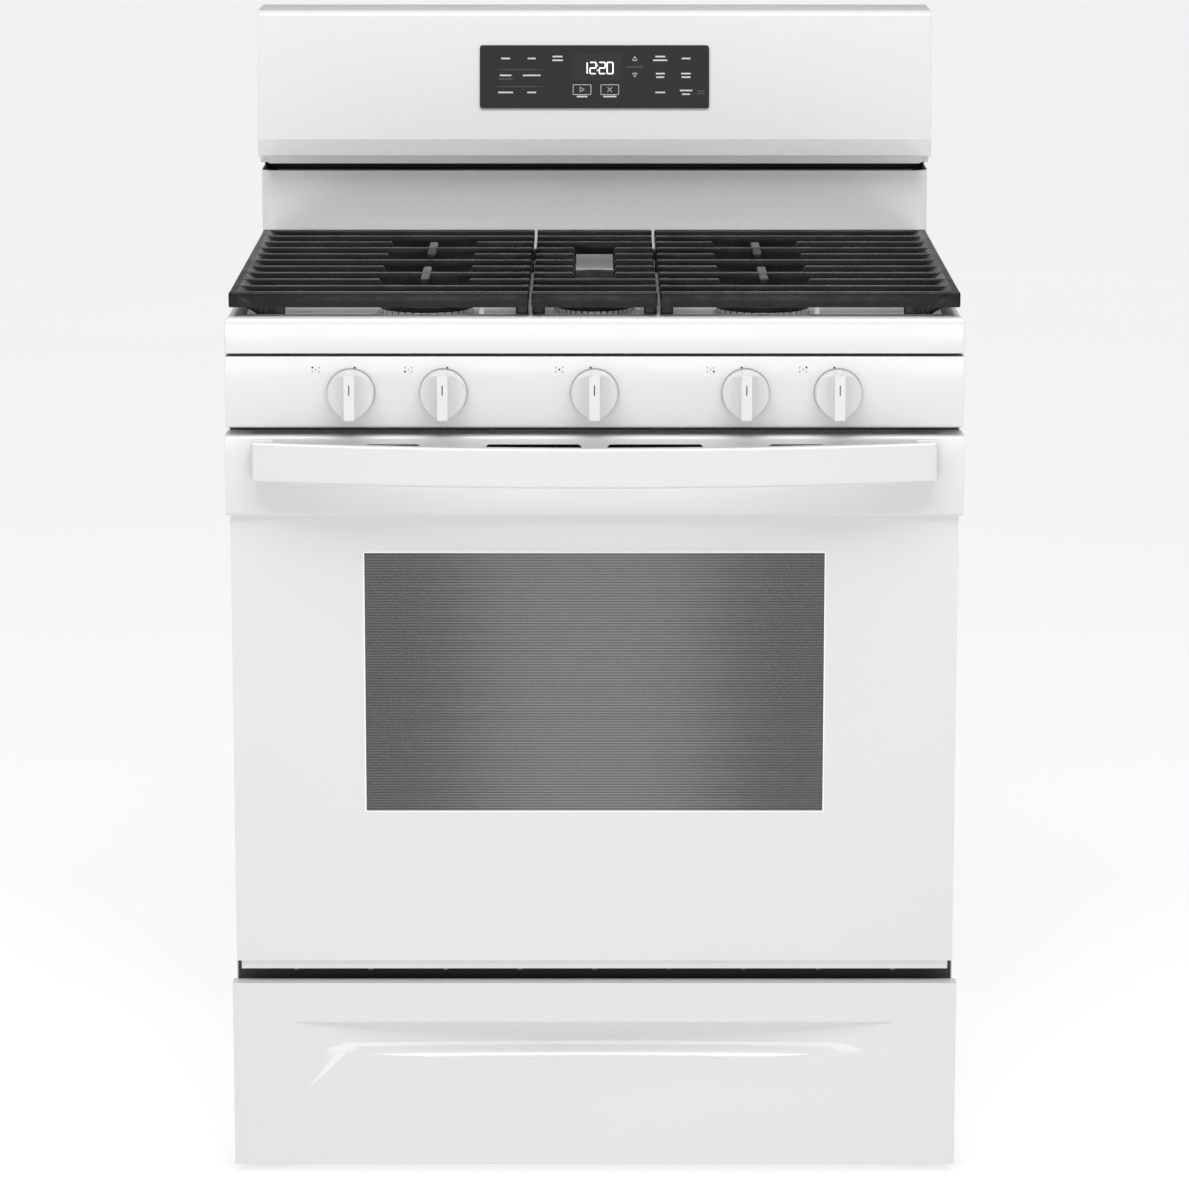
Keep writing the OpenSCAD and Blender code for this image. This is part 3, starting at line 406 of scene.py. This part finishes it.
# grates rebuilt bar by bar, each bar's edges rounded as cast; places follow the CAD grates
grate = {"bar": 0.009, "height": 0.014, "pad": 0.0015, "inset": 0.0005, "round": 0.0016, "step": 0.0002,
         "rail": 0.012, "innerRail": 0.010, "innerDrop": 0.006, "outerRail": 0.024, "flat": 0.009,
         "drop": 0.009, "burner": 0.1775, "gap": 0.0445, "centreGap": 0.020, "finger": 0.05,
         "fingerWide": 0.0095, "foot": 0.010, "footFront": 0.026, "footBack": 0.034,
         "innerFoot": 0.0135, "leg": (0.056, 0.042), "web": 0.044, "webRise": 0.002,
         "lugs": (0.175, 0.163), "lugOut": 0.0026}
barEnd = (0.0012, 0.0012)
fingerEnd = (0.003, 0.007)


def castBar(work, profile, start, end, radius):
    # prism along y over a convex (x, z) profile with every edge rounded
    count = len(profile)
    rings = [[work.verts.new((x, y, z)) for x, z in profile] for y in (start, end)]
    faces = [work.faces.new(rings[0]), work.faces.new(rings[1][::-1])]
    for i in range(count):
        after = (i + 1) % count
        faces.append(work.faces.new([rings[0][i], rings[1][i], rings[1][after], rings[0][after]]))
    bmesh.ops.recalc_face_normals(work, faces=faces)
    edges = list({edge for face in faces for edge in face.edges})
    bmesh.ops.bevel(work, geom=edges, offset=radius, segments=2, profile=0.5, affect="EDGES",
                    clamp_overlap=True)


class GrateMould:
    # one grate's extents from the frame, and the bars cast between them
    def __init__(self, node):
        low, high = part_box(node)
        self.work = bmesh.new()
        self.top, self.bottom, self.deck = high.z, high.z - grate["height"] - grate["pad"], low.z
        self.front, self.back = low.y, high.y
        self.inner, self.outer = sorted((abs(low.x), abs(high.x)))
        self.barFoot = self.top - grate["height"]
        self.pitch = (self.back - self.front - 0.010) / 10
        # no two bars share a plane: rails along y and cross bars lie one or two steps inside the end rails
        self.barTop = self.top - 2 * grate["step"]

    def alongY(self, x, y, z, radius=grate["round"]):
        profile = rectangle(sum(x) / 2, sum(z) / 2, x[1] - x[0], z[1] - z[0])
        castBar(self.work, profile, y[0], y[1], radius)

    def crossBar(self, k, x, left, right):
        # the kth bar from the front, whose top falls by (run, drop) at each end
        y = self.front + k * self.pitch + 0.0005
        low, high = self.barFoot, self.barTop
        profile = [(x[0], low), (x[1], low), (x[1], high - right[1]), (x[1] - right[0], high),
                   (x[0] + left[0], high), (x[0], high - left[1])]
        castBar(self.work, profile, y, y + grate["bar"], grate["round"])

    def endRails(self, x):
        for y in (self.front, self.back - grate["rail"]):
            self.alongY(x, (y, y + grate["rail"]), (self.bottom, self.top))

    def innerRail(self, x):
        step = grate["step"]
        self.alongY(x, (self.front + step, self.back - step),
                    (self.bottom + step, self.top - grate["innerDrop"]))

    def footRows(self):
        starts = (self.front + grate["footFront"], self.back - grate["footBack"])
        return [(y, y + grate["foot"]) for y in starts]

    def innerFoot(self, x, y):
        self.alongY(x, y, (self.deck, self.top - grate["innerDrop"] - grate["step"]))


def sideGrate(m):
    g, step = grate, grate["step"]
    inner, outer = m.inner, m.outer
    m.innerRail((inner + step, inner + g["innerRail"]))
    # the outer rail: flat along its outside, then sloping down into the bays
    bayX, wallX = outer - g["outerRail"], outer - step
    slope = [(bayX, m.bottom + step), (wallX, m.bottom + step), (wallX, m.top - step),
             (outer - g["flat"], m.top - step), (bayX, m.top - g["drop"])]
    castBar(m.work, slope, m.front + step, m.back - step, g["round"])
    m.endRails((inner, outer))
    reach = (inner + g["inset"], outer - 0.005)
    for k in range(1, 10):
        if k % 2:
            m.crossBar(k, reach, barEnd, barEnd)
        else:
            m.crossBar(k, (reach[0], g["burner"] - g["gap"]), barEnd, fingerEnd)
            m.crossBar(k, (g["burner"] + g["gap"], reach[1]), fingerEnd, barEnd)
    for k in (3, 7):
        y = m.front + k * m.pitch + 0.005
        m.alongY((g["burner"] - g["fingerWide"] / 2, g["burner"] + g["fingerWide"] / 2),
                 (y - g["finger"], y + g["finger"]), (m.barFoot + 0.001, m.barTop - step))
    for y in m.footRows():
        m.innerFoot((inner + 2 * step, inner + g["innerFoot"]), y)
        m.alongY((outer - g["leg"][0], outer - g["leg"][1]), y, (m.deck, m.top - g["drop"]))
        # curved web from the leg out to the rail: z = foot + rise (1 - (1 - run)^2)
        run = np.linspace(0.0, 1.0, 9)
        x = outer - g["web"] + (g["web"] - 2 * step) * run
        z = m.deck + g["webRise"] + (m.bottom - m.deck - g["webRise"]) * (1 - (1 - run) ** 2)
        webTop = m.top - g["drop"] - 0.0005
        for a, b in zip(range(8), range(1, 9)):
            piece = [(x[a], z[a]), (x[b], z[b]), (x[b], webTop), (x[a], webTop)]
            castBar(m.work, piece, y[0] + step, y[1] - step, step)


def middleGrate(m):
    g, step = grate, grate["step"]
    outer = m.outer - g["lugOut"]
    for sign in (-1, 1):
        m.innerRail(sorted((sign * (outer - g["innerRail"]), sign * (outer - step))))
        # the lug that keeps the grates apart
        m.alongY(sorted((sign * (outer - 0.001), sign * m.outer)),
                 (m.back - g["lugs"][0], m.back - g["lugs"][1]), (m.bottom + 0.002, m.top - 0.001), 0.0008)
        for y in m.footRows():
            m.innerFoot(sorted((sign * (outer - g["innerFoot"]), sign * (outer - 2 * step))), y)
    m.endRails((-outer, outer))
    reach = (g["inset"] - outer, outer - g["inset"])
    for k in range(1, 10):
        if k < 3 or k > 7:
            m.crossBar(k, reach, barEnd, barEnd)
        else:
            m.crossBar(k, (reach[0], -g["centreGap"]), barEnd, fingerEnd)
            m.crossBar(k, (g["centreGap"], reach[1]), fingerEnd, barEnd)


def grateBuilder(node, build):
    mould = GrateMould(node)
    build(mould)
    if node == "left_grate":
        bmesh.ops.scale(mould.work, vec=(-1, 1, 1), verts=mould.work.verts)
        bmesh.ops.reverse_faces(mould.work, faces=mould.work.faces)
    mesh = bpy.data.meshes.new(node + "Cast")
    mould.work.to_mesh(mesh)
    mould.work.free()
    piece = addPiece(node + "Cast", bodyOf[node], slotOf[node], mesh)
    shadeByAngle(mesh, 50.0)
    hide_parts(node)


for node, build in (("left_grate", sideGrate), ("centre_grate", middleGrate), ("right_grate", sideGrate)):
    grateBuilder(node, build)
print("grates built")


# the outer door pane: white paint fired on the back, with fine printed lines across the window; the window's
# glass is painted lighter towards its middle as a painted reflection
window = {"halfWidth": 0.238, "bottom": 0.3944, "top": 0.6684, "highlightRimWidth": 0.0012, "pitch": 0.0029,
          "edgeTone": 0.012, "midReflectionTone": 0.09, "radius": 0.0012}


def paneFinish():
    f = Finish("doorPaneGlass", coat=1.0, coatRough=0.015, ior=1.5)
    x, y, z = f.xyz()
    middle = (window["bottom"] + window["top"]) / 2
    # how far a point is outside the window's edge, below zero inside it
    beyond = (abs(x) - window["halfWidth"]).most(abs(z - middle) - (window["top"] - window["bottom"]) / 2)
    inside = beyond < 0.0
    # painted highlight: a thin rim round the window, brighter than the white paint
    outline = (beyond < window["highlightRimWidth"]) * (beyond > 0.0)
    line = (z / window["pitch"]).fraction() < 0.5
    # painted reflection: the window's glass is lighter towards its middle and darker towards its sides
    sheen = abs(x).ramp(0.02, 0.235, 1.0, 0.0)
    streak = f.noise(1.0, 3.0, 0.6, stretch=(0.6, 1.0, 190.0)).ramp(0.25, 0.75)
    tone = (sheen * 0.8 + streak * 0.2).ramp(0.0, 1.0)
    dark = f.blend(tone, (window["edgeTone"],) * 3, (window["midReflectionTone"],) * 3)
    printed = f.blend(tone, (window["edgeTone"] * 9,) * 3, (window["midReflectionTone"] * 2.6,) * 3)
    pane = f.blend(line, dark, printed)
    paint = f.blend(f.noise(2.0, 3.0).ramp(0.3, 0.7), white, darker(white, 0.985))
    # outside the window the white paint, with the painted highlight rim at its edge; inside it the printed
    # pane
    f.feed("Base Color", f.blend(inside, f.blend(outline, paint, (0.95, 0.95, 0.95)), pane))
    f.feed("Alpha", 1.0 - inside * 0.22)
    f.feed("Roughness", f.noise(7.0, 4.0, 0.6).ramp(0.35, 0.75, 0.04, 0.08))
    return f.material


def outerPane():
    low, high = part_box("door_glass")
    outline = roundedRectangle((low.x + high.x) / 2, (low.z + high.z) / 2, high.x - low.x, high.z - low.z,
                               window["radius"], 3)
    mesh = flatShapes("outerPane", [outline], low.y, high.y, upright)
    piece = addPiece("outerPane", "oven_door", "door_glass", mesh, paneFinish())
    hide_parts("door_glass")


outerPane()


# the console's black display: lettering stands as plain bars, the clock as seven-stroke digits
display = {"halfWidth": 0.129, "height": 0.071, "radius": 0.003, "thick": 0.0024, "glass": 0.0025,
           "print": 0.0001, "lean": 11.463}
low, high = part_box("control_glass")
lean = math.radians(display["lean"])
displayFoot = (low.y, low.z + display["glass"] * math.sin(lean))


def onDisplay(x, rise, offset):
    # x across, rise up the sloped face from the display's lower edge, offset out of it
    return (x, displayFoot[0] + rise * math.sin(lean) - offset * math.cos(lean),
            displayFoot[1] + rise * math.cos(lean) + offset * math.sin(lean))


def milli(outlines):
    return [[(x / 1000, y / 1000) for x, y in outline] for outline in outlines]


def sevenStroke(digit, x, y, width, height, thick):
    # strokes in the order top, upper left, upper right, middle, lower left, lower right, bottom
    lit = {"0": "1110111", "1": "0010010", "2": "1011101"}[digit]
    left, right, foot, head, waist = x, x + width, y, y + height, y + height / 2
    gap = thick * 0.6
    lines = [((left, head), (right, head)), ((left, head), (left, waist)), ((right, head), (right, waist)),
             ((left, waist), (right, waist)), ((left, waist), (left, foot)), ((right, waist), (right, foot)),
             ((left, foot), (right, foot))]
    drawn = []
    for on, ((ax, ay), (bx, by)) in zip(lit, lines):
        if on == "1":
            # each stroke stops short of its ends along its own direction
            insetX, insetY = (gap, 0) if ay == by else (0, gap)
            drawn += strokes([(ax + insetX, ay - insetY), (bx - insetX, by + insetY)], thick)
    return drawn


printFinish = Finish("displayPrint", rough=0.5)
printFinish.feed("Base Color", printFinish.blend(printFinish.noise(900.0), (0.5,) * 3, (0.62,) * 3))
glowFinish = Finish("clockGlow", rough=0.4, glow=0.9)
glowTone = glowFinish.blend(glowFinish.noise(300.0), (0.75, 0.76, 0.78), (0.9, 0.91, 0.93))
glowFinish.feed("Base Color", glowTone).feed("Emission Color", glowTone)
dimFinish = Finish("dimPrint", rough=0.5)
dimFinish.feed("Base Color", dimFinish.blend(dimFinish.noise(900.0), (0.035,) * 3, (0.06,) * 3))
clockFinish = darkGlass("clockWindow", (0.011, 0.011, 0.0125), 0.06)


def onGlass(name, outlines, lift, material):
    # a flat print on the display; outlines in millimetres, lift in layers of print
    mesh = flatShapes(name, milli(outlines), 0, display["print"] * lift, onDisplay)
    addPiece(name, "chassis", "black_glass", mesh, material)


def displayPanel():
    body = [roundedRectangle(0, display["height"] / 2, 2 * display["halfWidth"], display["height"],
                             display["radius"])]
    panel = addPiece("displayPanel", "chassis", "black_glass",
                     flatShapes("displayPanel", body, -display["thick"], 0, onDisplay))
    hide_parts("control_glass")
    onGlass("clockWindow", [roundedRectangle(2.3, 46.4, 58, 30, 1)], 1, clockFinish)
    digits = [disc(3.2, y, 0.8, 10) for y in (42.6, 48.2)]
    for digit, x in (("1", -14.8), ("2", -5.0), ("2", 5.4), ("0", 14.2)):
        digits += sevenStroke(digit, x, 39.0, 6.6, 12.6, 1.35)
    onGlass("clockDigits", digits, 2, glowFinish.material)
    # key labels as plain bars: x, height on the display and width of each
    bars = [(-100, 56, 10), (-70.7, 56, 9), (-41.6, 58.2, 11), (-41.6, 54, 12), (-100, 37, 13),
            (-70.7, 37, 20), (-100, 17.8, 17), (-70.7, 17.8, 10), (74, 58.2, 11), (74, 54, 16),
            (103, 56, 10), (74, 39, 10),
            (74, 35, 9), (103, 39, 11), (103, 35, 10), (74, 17.8, 11), (103, 20, 14), (103, 15.8, 9),
            (-14, 13.2, 12), (17.2, 13.2, 15)]
    marks = [rectangle(x, y, width, 1.7) for x, y, width in bars]
    # start triangle and stop cross, each in a three-sided frame, then an up and a down arrow
    marks += strokes([(-16.2, 18.4), (-16.2, 23.6), (-11.4, 21)], 0.55, True)
    marks += strokes([(14.8, 18.6), (19.6, 23.4)], 0.55)
    marks += strokes([(14.8, 23.4), (19.6, 18.6)], 0.55)
    for x in (-14, 17.2):
        marks += strokes([(x - 10, 15.4), (x - 10, 26.4), (x + 10, 26.4), (x + 10, 15.4)], 0.6, True)
    marks += strokes([(42.8, 53.8), (47.8, 53.8), (45.3, 58.2)], 0.6, True)
    marks += strokes([(42.8, 39.4), (47.8, 39.4), (45.3, 35)], 0.6, True)
    onGlass("displayMarks", marks, 2, printFinish.material)
    dimBars = [(45.3, 46.4, 19), (-100, 32.8, 16), (119.7, 19.4, 8), (119.7, 16.6, 9), (-85.5, 43.6, 38),
               (-85.5, 24.4, 38)]
    dim = [rectangle(-85.5, y, 53, 0.5) for y in (43.6, 24.4)]
    dim += [rectangle(x, y, width, 1.5) for x, y, width in dimBars]
    onGlass("displayDimMarks", dim, 1.5, dimFinish.material)


displayPanel()


# printed dots on the control panel: an index dot over each knob and the burner it feeds
panelMarks = {"height": 0.8615, "iconShift": -0.036, "dot": 0.00105, "iconDot": 0.0009, "iconPitch": 0.0034,
              "iconDrop": 0.002, "iconSquash": 0.62, "indexShift": 0.004, "proud": 0.00012, "deep": 0.0002}
inkFinish = satin("blackInk", (0.008, 0.008, 0.008), 0.5)
# pale grey for the other icon dots; the same finish paints the painted shadow rings round the knobs
paleInkAndShadowFinish = satin("paleInkAndPaintedShadow", (0.42, 0.42, 0.43), 0.5)
knobBoxes = [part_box(f"knob_{i}") for i in range(1, 6)]
knobCentres = [(low.x + high.x) / 2 for low, high in knobBoxes]


def controlMarks():
    m = panelMarks
    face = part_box("control_panel")[0].y
    # the icon's five places, and which of them each knob feeds
    places = [(-1, 1), (-1, -1), (0, 0), (1, -1), (1, 1)]
    ink, pale = [], []
    for number, x in enumerate(knobCentres):
        ink.append(disc(x + math.copysign(m["indexShift"], -x) * (x != 0), m["height"], m["dot"]))
        for place, (across, rise) in enumerate(places):
            centre = (x + m["iconShift"] + across * m["iconPitch"],
                      m["height"] - m["iconDrop"] + rise * m["iconPitch"] * m["iconSquash"])
            fed = place == number
            (ink if fed else pale).append(disc(*centre, m["dot"] if fed else m["iconDot"]))
    for name, shapes, finish in (("panelInk", ink, inkFinish), ("panelPaleInk", pale, paleInkAndShadowFinish)):
        addPiece(name, "chassis", "white_enamel",
                 flatShapes(name, shapes, face - m["proud"], face + m["deep"], upright), finish)


controlMarks()


# a pale grey ring painted on the panel round each knob's skirt as painted shadow of the gap there, and a grey
# pointer line let into its grip
ring = {"radii": (0.0240, 0.0250), "proud": 0.0001, "points": 72}
pointer = {"rise": 0.0085, "length": 0.0105, "width": 0.0011, "corner": 0.0005, "proud": 0.00012,
           "deep": 0.0003}


# painted shadow: a grey annulus on the panel's face just outside the knob's skirt
def knobShadowRing(number, x, z):
    angle = np.linspace(0, 2 * np.pi, ring["points"], endpoint=False)
    radii = np.array(ring["radii"])[:, None]
    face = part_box("control_panel")[0].y - ring["proud"]
    # each ring: (x + r cos a, z + r sin a) on the panel's face
    grid = np.stack([x + radii * np.cos(angle), np.full((2, ring["points"]), face),
                     z + radii * np.sin(angle)], axis=-1)
    mesh = gridMesh(f"knobShadowRing{number}", grid)
    addPiece(f"knobShadowRing{number}", "chassis", "white_enamel", mesh, paleInkAndShadowFinish)


def knobPointer(number, x, z):
    bar = [roundedRectangle(x, z + pointer["rise"], pointer["width"], pointer["length"],
                            pointer["corner"], 3)]
    front = knobBoxes[number - 1][0].y
    mesh = flatShapes(f"knobPointer{number}", bar, front - pointer["proud"], front + pointer["deep"], upright)
    addPiece(f"knobPointer{number}", f"knob_body_{number}", "knob_plastic", mesh, finishes["dark_paint"])


for mark in (knobShadowRing, knobPointer):
    for number, ((low, high), x) in enumerate(zip(knobBoxes, knobCentres), 1):
        mark(number, x, (low.z + high.z) / 2)
print("display, panel marks and pointers made")


# the camera stands about 5 m in front and looks down a little
view = {"lens": 144.9, "place": (0.0, -5.148, 1.596), "down": 11.311}
camera = bpy.data.objects.new("camera", bpy.data.cameras.new("camera"))
bpy.context.scene.collection.objects.link(camera)
camera.data.sensor_width = 36.0
camera.data.lens = view["lens"]
camera.location = view["place"]
camera.rotation_euler = (math.radians(90.0 - view["down"]), 0.0, 0.0)
bpy.context.scene.camera = camera

floorMesh = bpy.data.meshes.new("floor")
floorMesh.from_pydata([(-40, -40, 0), (40, -40, 0), (40, 60, 0), (-40, 60, 0)], [], [(0, 1, 2, 3)])
floor = bpy.data.objects.new("floor", floorMesh)
bpy.context.scene.collection.objects.link(floor)
paper = Finish("paleFloor", rough=0.9, glow=0.68, glowColour=(1.0, 1.0, 1.0))
paper.feed("Base Color", paper.blend(paper.noise(0.8), (0.42,) * 3, (0.46,) * 3))
floorMesh.materials.append(paper.material)

world = bpy.data.worlds.new("studio")
bpy.context.scene.world = world
world.use_nodes = True
background = world.node_tree.nodes["Background"]
background.inputs["Color"].default_value = (1.0, 1.0, 1.0, 1.0)
background.inputs["Strength"].default_value = 0.42


def softLight(name, place, aim, width, height, watts):
    lamp = bpy.data.lights.new(name, "AREA")
    lamp.energy, lamp.shape, lamp.size, lamp.size_y = watts, "RECTANGLE", width, height
    lampObject = bpy.data.objects.new(name, lamp)
    lampObject.location = place
    lampObject.rotation_euler = (Vector(aim) - Vector(place)).to_track_quat("-Z", "Y").to_euler()
    bpy.context.scene.collection.objects.link(lampObject)


softLight("overheadFront", (0.0, -1.3, 3.0), (0.0, -0.2, 0.4), 3.0, 1.4, 62.0)
softLight("frontFill", (0.0, -4.6, 1.0), (0.0, 0.0, 0.55), 3.2, 1.0, 27.0)
bpy.context.scene.view_settings.view_transform = "Standard"
print("camera and lights set")
